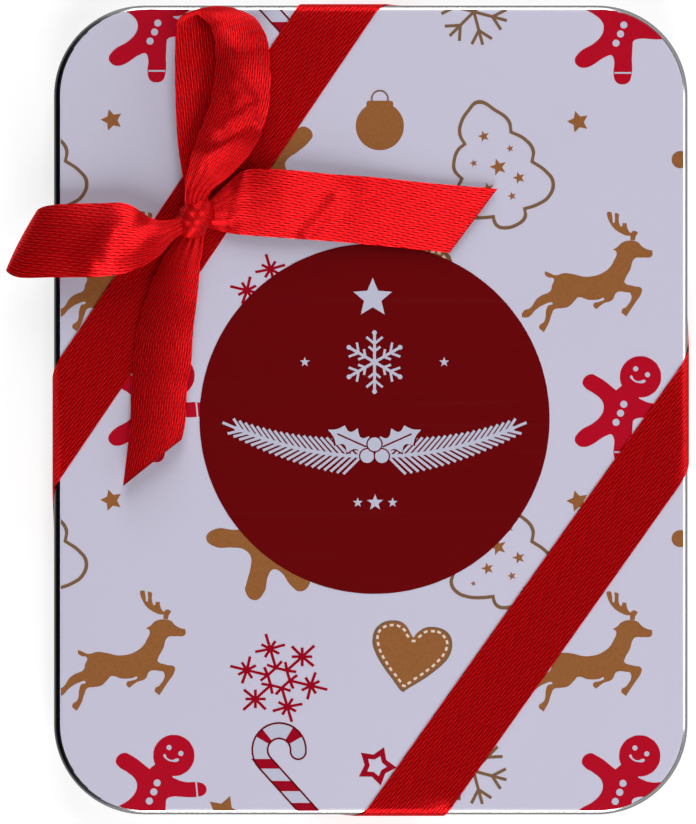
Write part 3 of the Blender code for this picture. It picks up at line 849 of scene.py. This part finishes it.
def candy_cane():
    """A striped cane round the middle of its hook, with a slanting shaft."""
    middle, half, end_turn, slope_turn = 3.39, 1.36, -5, 222
    inner, outer = middle - half, middle + half
    slope, side = ray(slope_turn + 90, 1), ray(slope_turn, half)
    start = ray(slope_turn, middle)
    foot = start + slope * 15.5
    end = ray(end_turn, middle)
    cap = [end + ray(end_turn - 180 + 15 * step, half) for step in range(1, 12)]
    edge = [ray(angle, outer) for angle in range(end_turn, slope_turn, 12)] + [start + side, foot + side, foot - side]
    edge += [ray(angle, inner) for angle in range(slope_turn, end_turn, -12)] + cap
    stripes = []
    for low, high in ((30, 58), (128.5, 150)):
        turns = [low + (high - low) * step / 4 for step in range(5)]
        stripes.append([ray(turn, outer) for turn in turns] + [ray(turn, inner) for turn in reversed(turns)])
    for top, bottom in ((-1.59, -3.31), (-5.47, -7.29), (-9.35, -10.8)):
        ends = ((start + side, top), (start + side, bottom), (start - side, bottom), (start - side, top))
        stripes.append([point + slope * ((height - point.y) / slope.y) for point, height in ends])
    shapes = [drawn([corners(edge)], MOTIF_RISE, WHITE)]
    shapes += each_drawn([corners(stripe) for stripe in stripes], MOTIF_RISE, CRIMSON)
    return shapes + [drawn(stroke(corners(edge), 0.32), DETAIL_RISE, MAROON)]


def print_tiled(shapes, places):
    """Copies a motif to its places, each shape with its own mesh and a hair higher than the one before, and
    removes the first copy."""
    laid = []
    for x, y in places:
        for layer, shape in enumerate(shapes):
            copy = add_object("printed", shape.data.copy())
            height = shape.location.z + layer * LAYER_STEP
            copy.matrix_world = Matrix.Translation((MIDDLE.x + x * MM, MIDDLE.y + y * MM, height))
            laid.append(copy)
    for shape in shapes:
        bpy.data.objects.remove(shape)
    return laid


def make_pattern():
    small_star = [drawn([star(2.0, turn=-16, waist=0.5)], MOTIF_RISE, GOLD)]
    large_star = [drawn([star(3.2, turn=20.5, waist=0.52)], MOTIF_RISE, GOLD)]
    red_star = [drawn([star(3.6, turn=22.6, waist=0.572), star(1.88, turn=22.6, waist=0.617)], MOTIF_RISE, CRIMSON)]
    dot = [drawn([circle(1.5)], MOTIF_RISE, GOLD)]
    laid = []
    for shapes, places in (
        (red_figure(), [(-34.64, 73.14), (47.61, 72.79), (-34.73, 6.07),
                        (47.61, 5.86), (-34.76, -60.98), (47.47, -61.05)]),
        (gold_figure(), [(-18.1, 43.15), (-18.14, -23.83)]),
        (deer(), [(38.3, 24.5), (-44.1, 24.6), (38.25, -42.49), (-44.11, -42.35)]),
        (small_star, [(-45.7, 51.19), (36.62, 50.87), (-45.77, -15.92), (36.52, -16.1)]),
        (large_star, [(-25.94, -71.1)]),
        (tree(), [(23.7, 43.2), (23.66, -23.85), (-58.65, 43.3), (-58.7, -23.8)]),
        (heart(), [(7.3, 23.58), (7.3, -43.4)]),
        (bauble(), [(1.6, 50.1)]),
        (dot, [(54.6, 44.2), (54.6, -22.7)]),
        (red_snowflake(), [(-16.2, 19.75), (-16.23, -47.28)]),
        (brown_snowflake(), [(18.2, 70.3), (18.12, -63.7)]),
        (candy_cane(), [(-16.18, 73.97), (-16.18, 6.99), (-16.18, -59.99)]),
        (red_star, [(0.97, -62.82)]),
    ):
        laid += print_tiled(shapes, places)
    piece = join(laid, "print_motifs")
    settle(piece)
    trim_to_print(piece)
    return piece


def trim_to_print(piece):
    """Cuts off what reaches past the printed field, a straight cut at a time along its sides and round corners."""
    activate(piece)
    bpy.ops.object.mode_set(mode="EDIT")
    steps = 4 * CORNER_SEGMENTS
    for step in range(steps):
        way = ray(360 * step / steps, 1)
        radius = CORNER_RADIUS - PRINT_INSET - LEFT_INSET * max(0, -way.x)
        side_x = 0 if abs(way.x) < 1e-6 else math.copysign(TIN_WIDTH / 2 - CORNER_RADIUS, way.x)
        side_y = 0 if abs(way.y) < 1e-6 else math.copysign(TIN_LENGTH / 2 - CORNER_RADIUS, way.y)
        edge = (MIDDLE.x + side_x + way.x * radius, MIDDLE.y + side_y + way.y * radius, FACE)
        bpy.ops.mesh.select_all(action="SELECT")
        bpy.ops.mesh.bisect(plane_co=edge, plane_no=(way.x, way.y, 0), use_fill=True, clear_outer=True)
    bpy.ops.object.mode_set(mode="OBJECT")


def fir_twig(side):
    """A fir bough that rises outwards from the middle, with long needles in pairs."""
    spine = [Vector((side * (1.2 + 23.4 * step / 21), -6.6 + 5.0 * (step / 21) ** 2)) for step in range(22)]
    strokes = stroke([tuple(point) for point in spine], 0.6, False)
    for step in range(1, 21):
        run = spine[step] - spine[step - 1]
        length = 4.6 - 2.2 * step / 21
        for lean in (-1, 1):
            way = math.degrees(math.atan2(run.y, run.x)) + lean * (46 - 12 * step / 21)
            strokes += rays(spine[step], [(way, length)], 0.46)
    last = spine[-1] - spine[-2]
    return strokes + rays(spine[-1], [(math.degrees(math.atan2(last.y, last.x)), 2.4)], 0.46)


HOLLY_PLACE = (0.0, -5.6)
HOLLY_TURNS = (24, 156)
BERRIES = ((-1.3, -6.6), (1.3, -6.6), (0.0, -4.5))


def holly_leaf(turn, size):
    """A pointed leaf with hollow edges between its spikes."""
    half = [(0.9, 0.25), (1.9, 1.9, 0), (3.0, 1.1), (4.3, 2.35, 0), (5.3, 1.25), (6.6, 1.9, 0), (7.6, 0.75)]
    edge = [(0.6, 0.0, 0)] + half + [(9.0, 0.0, 0)] + [(x, -y, *rest) for x, y, *rest in reversed(half)]
    rotation = Matrix.Rotation(math.radians(turn), 2)
    centre = Vector((4.8, 0))
    result = []
    for x, y, *rest in edge:
        place = rotation @ (centre + (Vector((x, y)) - centre) * size) + Vector(HOLLY_PLACE)
        result.append((*place, *rest))
    return result


def snow_crystal(x, y, reach):
    """Six arms, each with two pairs of sprouts and a dot at its end, round a dot."""
    strokes, centre = [], Vector((x, y))
    for arm in range(6):
        turn = 90 + 60 * arm
        strokes.append(bar(centre, centre + ray(turn, reach), 0.5))
        for share, length in ((0.36, 0.26), (0.62, 0.36)):
            strokes += sprouts(centre + ray(turn, reach * share), turn, 50, reach * length, 0.42)
        strokes.append(circle(0.42, *(centre + ray(turn, reach)), 8))
    return strokes + [circle(0.62, x, y, 8)]


def make_disc():
    """The dark red disc: a star, a snow crystal between two small stars, holly on fir twigs, and three stars."""
    marks = [star(3.58, -0.32, 21.3, waist=0.45), star(0.9, -12.3, 10.0), star(0.9, 12.3, 10.0)]
    marks += [star(1.5, 0.1, -14.8), star(0.9, -2.95, -14.8), star(0.9, 3.2, -14.8)]
    marks += snow_crystal(0.0, 10.0, 5.2) + fir_twig(1) + fir_twig(-1)
    veins = []
    for turn in HOLLY_TURNS:
        veins += rays(Vector(HOLLY_PLACE) + ray(turn, 1.6), [(turn, 5.6)], 0.3)
    shapes = [drawn([circle(30.9, count=48)], DISC_RISE, MAROON)] + each_drawn(marks, ORNAMENT_RISE, WHITE)
    for size, material in ((1.14, MAROON), (1.0, WHITE)):
        shapes += each_drawn([holly_leaf(turn, size) for turn in HOLLY_TURNS], ORNAMENT_RISE, material)
    shapes += each_drawn(veins, ORNAMENT_RISE, MAROON)
    for place in BERRIES:
        for radius, material in ((1.45, MAROON), (1.2, WHITE)):
            shapes.append(drawn([circle(radius, *place, 10)], ORNAMENT_RISE, material))
    piece = join(print_tiled(shapes, [(0.66, -1.54)]), "print_disc")
    settle(piece)
    return piece


pattern = make_pattern()
disc = make_disc()
for layer in (pattern, disc):
    close_and_face_out(layer)
    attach(layer, "root")


# Ribbon


def arc(centre, radius, start, turn, steps):
    """Points on an arc in the section, by angle in degrees from the outward direction towards up."""
    angles = [math.radians(start + turn * step / steps) for step in range(steps + 1)]
    inset, height = centre
    return [(inset - radius * math.cos(a), height + radius * math.sin(a)) for a in angles]


def wrap_sides():
    """The tin's four sides in the order that the ribbon takes them. Each has the way outwards, the way to the side
    that the ribbon runs on to over the lid, the distance from the middle, and where the ribbon turns over it."""
    half_width, half_length = TIN_WIDTH / 2, TIN_LENGTH / 2
    return (
        (Vector((-1, 0, 0)), Vector((0, 1, 0)), half_width, LEFT_FRONT, LEFT_BACK),
        (Vector((0, -1, 0)), Vector((1, 0, 0)), half_length, BOTTOM_FRONT, BOTTOM_BACK),
        (Vector((1, 0, 0)), Vector((0, -1, 0)), half_width, RIGHT_FRONT, RIGHT_BACK),
        (Vector((0, 1, 0)), Vector((-1, 0, 0)), half_length, TOP_FRONT, TOP_BACK),
    )


def turning_point(side, front):
    """The middle of the ribbon where it leaves the flat of the lid or of the base at this side."""
    outwards, towards, distance, front_place, back_place = side
    inset = SHOULDER_RADIUS if front else FOOT_RADIUS
    along = Vector((abs(towards.x), abs(towards.y), 0))
    return outwards * (distance - inset) + along * (front_place if front else back_place)


def half_crossing(side, neighbour, front):
    """Half the length of the tin's edge that the ribbon covers."""
    run = turning_point(neighbour, front) - turning_point(side, front)
    return RIBBON_WIDTH / 2 / abs(run.normalized().dot(side[0]))


def side_rows(side, over_neighbour, under_neighbour):
    """Rows over one side of the tin, from the flat of the lid down to the flat of the base."""
    outwards, towards, distance = side[:3]
    clear = REST_GAP + RIBBON_THICKNESS / 2
    upper, lower = SHOULDER_RADIUS + clear, FOOT_RADIUS + clear
    section = arc((SHOULDER_RADIUS, TIN_HEIGHT - SHOULDER_RADIUS), upper, 90, -90, TURN_STEPS)
    section += arc((FOOT_RADIUS, FOOT_RADIUS), lower, 0, -90, TURN_STEPS)
    lengths = [0.0]
    for before, after in zip(section, section[1:]):
        lengths.append(lengths[-1] + math.dist(before, after))
    start, end = turning_point(side, True), turning_point(side, False)
    start_half = half_crossing(side, over_neighbour, True)
    end_half = half_crossing(side, under_neighbour, False)
    rows = []
    for (inset, height), length in zip(section, lengths):
        share = length / lengths[-1]
        middle = start.lerp(end, share)
        middle += outwards * (distance - inset - middle.dot(outwards))
        middle.z = height
        reach = towards * (start_half + (end_half - start_half) * share)
        rows.append([middle + reach, middle - reach])
    return rows


def wrap_rows():
    """The ribbon round the tin, with its flat bands cut into short steps."""
    left, bottom, right, top = wrap_sides()
    corners_of_wrap = [side_rows(left, top, bottom), side_rows(bottom, right, left)[::-1]]
    corners_of_wrap += [side_rows(right, bottom, top), side_rows(top, left, right)[::-1]]
    rows = []
    for here, turn in enumerate(corners_of_wrap):
        rows += turn
        onward = corners_of_wrap[(here + 1) % 4][0]
        for step in range(1, BAND_STEPS):
            share = step / BAND_STEPS
            rows.append([before.lerp(after, share) for before, after in zip(turn[-1], onward)])
    origin = Vector((MIDDLE.x, MIDDLE.y, BACK))
    return [[origin + end for end in row] for row in rows]


def knot_place():
    """The point of the lid's face under the knot, on the band over the top left corner."""
    left, _, _, top = wrap_sides()
    start = turning_point(left, True)
    band = turning_point(top, True) - start
    place = start + band.normalized() * KNOT_ALONG_BAND
    return Vector((MIDDLE.x + place.x, MIDDLE.y + place.y, FACE))


def spline_point(before, start, end, after, share):
    """A point on the smooth curve through four points, between the middle two."""
    linear = end - before
    square = 2 * before - 5 * start + 4 * end - after
    cube = 3 * (start - end) + after - before
    return start + (linear * share + square * share**2 + cube * share**3) / 2


def strip_rows(table, run):
    """The rows of a loop or tail in space, smooth along it, each from its left selvedge to its right one."""
    heading, reach, height = run
    along = Vector((math.cos(math.radians(heading)), math.sin(math.radians(heading)), 0))
    aside = Vector((along.y, -along.x, 0))
    lay_out = Matrix((aside * RIBBON_WIDTH, along * reach, Vector((0, 0, height)))).transposed()
    place = knot_place()
    rows = []
    for left, right, bulge in table:
        left, right, bulge = (lay_out @ Vector(part) for part in (left, right, (0, *bulge)))
        points = []
        for column in range(STRIP_COLUMNS + 1):
            share = column / STRIP_COLUMNS
            points.append(place + left.lerp(right, share) + bulge * (4 * share * (1 - share)))
        rows.append(points)
    result, last = [], len(rows) - 1
    for here in range(last):
        frame_rows = [rows[min(max(here + shift, 0), last)] for shift in (-1, 0, 1, 2)]
        for step in range(STEPS_A_ROW):
            result.append([spline_point(*points, step / STEPS_A_ROW) for points in zip(*frame_rows)])
    return result + [rows[last]]


def fold_lift(spot, line, height, left, right):
    """How far a fold lifts a spot. It runs along a line of points and has a width to its left and to its right."""
    nearest = None
    for first, second in zip(line, line[1:]):
        first, run = Vector(first), Vector(second) - Vector(first)
        share = min(max((spot - first).dot(run) / run.length_squared, 0.0), 1.0)
        away = spot - first - run * share
        if nearest is None or away.length < nearest[0]:
            nearest = (away.length, left if run.x * away.y - run.y * away.x > 0 else right)
    return height * math.exp(-((nearest[0] / nearest[1]) ** 2))


def crease(rows, folds, top_rows, gathers):
    """Presses folds, in millimetres from the middle of the knot, into the upper layer of a strip. Close to the knot
    the ribbon is gathered: small waves across it, as many as gathers says, that fade out along it."""
    place = knot_place()
    result = []
    for here, row in enumerate(rows):
        on_top = min(max(top_rows + 0.6 - here / STEPS_A_ROW, 0.0), 1.0)
        line = []
        for column, point in enumerate(row):
            spot = Vector(((point.x - place.x) / MM, (point.y - place.y) / MM))
            wave = math.sin(math.pi * (2 * gathers * column / (len(row) - 1) + 0.3))
            lift = GATHER_LIFT * wave * math.exp(-((spot.length / GATHER_REACH) ** 2))
            lift += sum(fold_lift(spot, *fold) for fold in folds)
            line.append(point + Vector((0, 0, lift * on_top * MM)))
        result.append(line)
    return result


def lengths_along(rows, closed):
    """How far along the ribbon each point lies, measured along its threads, so that a slanting row runs on."""
    middles = [row[len(row) // 2] for row in rows]
    total, result, count = 0.0, [], len(rows)
    for here in range(count + closed):
        row, middle = rows[here % count], middles[here % count]
        if here:
            total += (middle - middles[here - 1]).length
        if closed:
            before, after = (here - 1) % count, (here + 1) % count
        else:
            before, after = max(here - 1, 0), min(here + 1, count - 1)
        way = (middles[after] - middles[before]).normalized()
        result.append([total + (point - middle).dot(way) for point in row])
    return result


def mark_cut_end(rows, lines, mark):
    """Marks how close each point lies to the melted end of a strip, measured along its own thread."""
    to_end = [0.0] * len(rows[0])
    for here in reversed(range(len(rows))):
        for column, vert in enumerate(lines[here]):
            if here < len(rows) - 1:
                to_end[column] += (rows[here + 1][column] - rows[here][column]).length
            vert[mark] = max(0.0, 1 - to_end[column] / CUT_REACH)


def ribbon_strip(name, rows, closed=False, mirrored=False, cut_end=False):
    """A strip of satin through rows of points, with the weave's own map and its melted cut end marked."""
    form = bmesh.new()
    weave = form.loops.layers.uv.new("weave")
    cut = form.verts.layers.float.new("cut")
    columns = len(rows[0]) - 1
    lines = [[form.verts.new(point) for point in row] for row in rows]
    along = lengths_along(rows, closed)
    following = lines[1:] + (lines[:1] if closed else [])
    for here, (line, other) in enumerate(zip(lines, following)):
        for column in range(columns):
            face = form.faces.new((line[column], line[column + 1], other[column + 1], other[column]))
            spots = ((here, column), (here, column + 1), (here + 1, column + 1), (here + 1, column))
            for loop, (row, spot) in zip(face.loops, spots):
                across = spot / columns
                loop[weave].uv = (1 - across if mirrored else across, along[row][spot])
    if cut_end:
        mark_cut_end(rows, lines, cut)
    mesh = bpy.data.meshes.new(name)
    form.to_mesh(mesh)
    form.free()
    mesh.materials.append(SATIN)
    piece = add_object(name, mesh)
    thicken(piece, RIBBON_THICKNESS, 0, RIBBON_SMOOTH_ANGLE)
    return piece


def widen(rows, columns):
    """Rows of two ends filled out with evenly spaced points."""
    return [[row[0].lerp(row[-1], column / columns) for column in range(columns + 1)] for row in rows]


def knot_rows():
    """The knot: the ribbon drawn tight once round the bow's middle, squeezed into pleats across its width."""
    place = knot_place() + Vector((*KNOT_SHIFT, (KNOT_HEIGHT + KNOT_FOOT) / 2))
    turn = Matrix.Translation(place) @ Matrix.Rotation(math.radians(KNOT_TURN), 4, "Z")
    rows = []
    for step in range(KNOT_STEPS):
        angle = 2 * math.pi * step / KNOT_STEPS
        row = []
        for column in range(KNOT_COLUMNS + 1):
            share = 2 * column / KNOT_COLUMNS - 1
            swell = max(1e-3, 1 - abs(share) ** KNOT_ROUNDNESS) ** (1 / KNOT_ROUNDNESS)
            swell *= 1 + PLEAT_DEPTH * math.cos(2 * math.pi * PLEATS * share + PLEAT_SWAY * math.sin(angle))
            across = math.cos(angle) * swell * KNOT_WIDTH / 2
            up = math.sin(angle) * swell * (KNOT_HEIGHT - KNOT_FOOT) / 2
            row.append(turn @ Vector((across, share * KNOT_LENGTH / 2, up)))
        rows.append(row)
    return rows


# Each fold: the line that it runs along, its height, and its width to the left and to the right, in millimetres
UP_LOOP_FOLDS = (
    (((5.2, 32.8), (9.0, 30.6)), -0.5, 2.8, 1.8),
    (((3.2, 33.0), (7.0, 24.0)), 0.5, 2.4, 2.4),
    (((3.8, 24.0), (6.4, 17.2)), -0.4, 2.6, 2.4),
    (((8.9, 18.6), (4.2, 14.4)), -0.5, 1.5, 1.5),
    (((9.6, 15.4), (1.6, 9.8)), 0.7, 1.6, 1.6),
)
LEFT_LOOP_FOLDS = (
    (((-8.6, -0.8), (-14.4, -4.3), (-18.4, -8.4)), 0.6, 3.2, 2.6),
    (((-5.3, -2.9), (-11.4, -6.2), (-15.0, -8.2)), 0.35, 1.8, 1.8),
    (((-9.1, -1.9), (-12.1, -4.1)), -0.3, 1.7, 1.7),
    (((-28.7, 0.3), (-33.1, -9.6)), 0.15, 0.35, 0.35),
)
RIGHT_TAIL_FOLDS = ((((19.1, -3.8), (24.4, 2.4)), -0.35, 1.5, 1.5),)

# Each strip: name, table, run, folds, the row up to which it is creased, its gathers, and whether its end is cut
STRIPS = (
    ("up_loop", UP_LOOP_ROWS, UP_LOOP, UP_LOOP_FOLDS, 6.5, 5, False),
    ("left_loop", LEFT_LOOP_ROWS, LEFT_LOOP, LEFT_LOOP_FOLDS, 6.5, 4, False),
    ("right_tail", RIGHT_TAIL_ROWS, RIGHT_TAIL, RIGHT_TAIL_FOLDS, 9, 3, True),
    ("down_tail", DOWN_TAIL_ROWS, DOWN_TAIL, (), 9, 4, True),
)


def make_ribbon():
    strips = [ribbon_strip("band", widen(wrap_rows(), BAND_COLUMNS), closed=True, mirrored=True)]
    strips.append(ribbon_strip("knot", knot_rows(), closed=True))
    for name, table, run, folds, top_rows, gathers, cut_end in STRIPS:
        rows = crease(strip_rows(table, run), folds, top_rows, gathers)
        strips.append(ribbon_strip(name, rows, cut_end=cut_end))
    return join(strips, "satin_ribbon")


ribbon = make_ribbon()
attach(ribbon, "root")
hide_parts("ribbon")


# Floor, light and camera


def make_floor():
    """A plain pale floor that shows white to the camera and keeps the shadow."""
    bpy.ops.mesh.primitive_plane_add(size=6, location=(0, 0, 0))
    floor = bpy.context.object
    floor.name = "floor"
    plain = {"Roughness": 0.9, "Specular IOR Level": 0.0, "Emission Strength": 1.0}
    material, tree, shader = new_material("pale floor", plain)
    light = new_node(tree, "ShaderNodeLightPath")
    shown = light["Is Camera Ray"]
    for label in ("Is Glossy Ray", "Is Transmission Ray"):
        shown = math_node(tree, "MAXIMUM", shown, light[label])
    for label, lit, seen in (("Base Color", 0.62, 0.38), ("Emission Color", 0.0, 0.68)):
        feed(tree, shader, {label: scaled_colour(tree, (1.0, 1.0, 1.0), blend(tree, shown, lit, seen))})
    floor.data.materials.append(material)


def make_world():
    """A dim room, dark overhead and to the left, and paler towards the horizon."""
    world = bpy.data.worlds.new("studio")
    bpy.context.scene.world = world
    world.use_nodes = True
    tree = world.node_tree
    direction = new_node(tree, "ShaderNodeTexCoord")["Generated"]
    parts = new_node(tree, "ShaderNodeSeparateXYZ", {"Vector": direction})
    room = map_range(tree, parts["Z"], 0.15, 0.9, 0.42, 0.02, True)
    side = map_range(tree, parts["X"], -0.6, 0.0, 0.15, 1.0, True)
    strength = math_node(tree, "MULTIPLY", room, side)
    feed(tree, tree.nodes["Background"], {"Strength": strength, "Color": (1, 1, 1, 1)})


def softbox(name, place, size, power):
    """A soft rectangular lamp that faces the middle of the scene."""
    lamp = bpy.data.lights.new(name, "AREA")
    lamp.shape = "RECTANGLE"
    lamp.size, lamp.size_y = size
    lamp.energy = power
    holder = add_object(name, lamp)
    holder.location = place
    holder.rotation_euler = (-Vector(place)).to_track_quat("-Z", "Y").to_euler()


def make_camera():
    """A camera straight above the lid. The view's longer side takes in the view height at the lid's face."""
    camera = bpy.data.cameras.new("camera")
    camera.sensor_width = SENSOR
    camera.lens = SENSOR * CAMERA_DISTANCE / VIEW_HEIGHT
    camera.clip_start, camera.clip_end = 0.01, 20
    holder = add_object("camera", camera)
    holder.location = (*CAMERA_PLACE, FACE + CAMERA_DISTANCE)
    bpy.context.scene.camera = holder


make_floor()
make_world()
for lamp in SOFTBOXES:
    softbox(*lamp)
make_camera()
bpy.context.scene.view_settings.view_transform = "Standard"
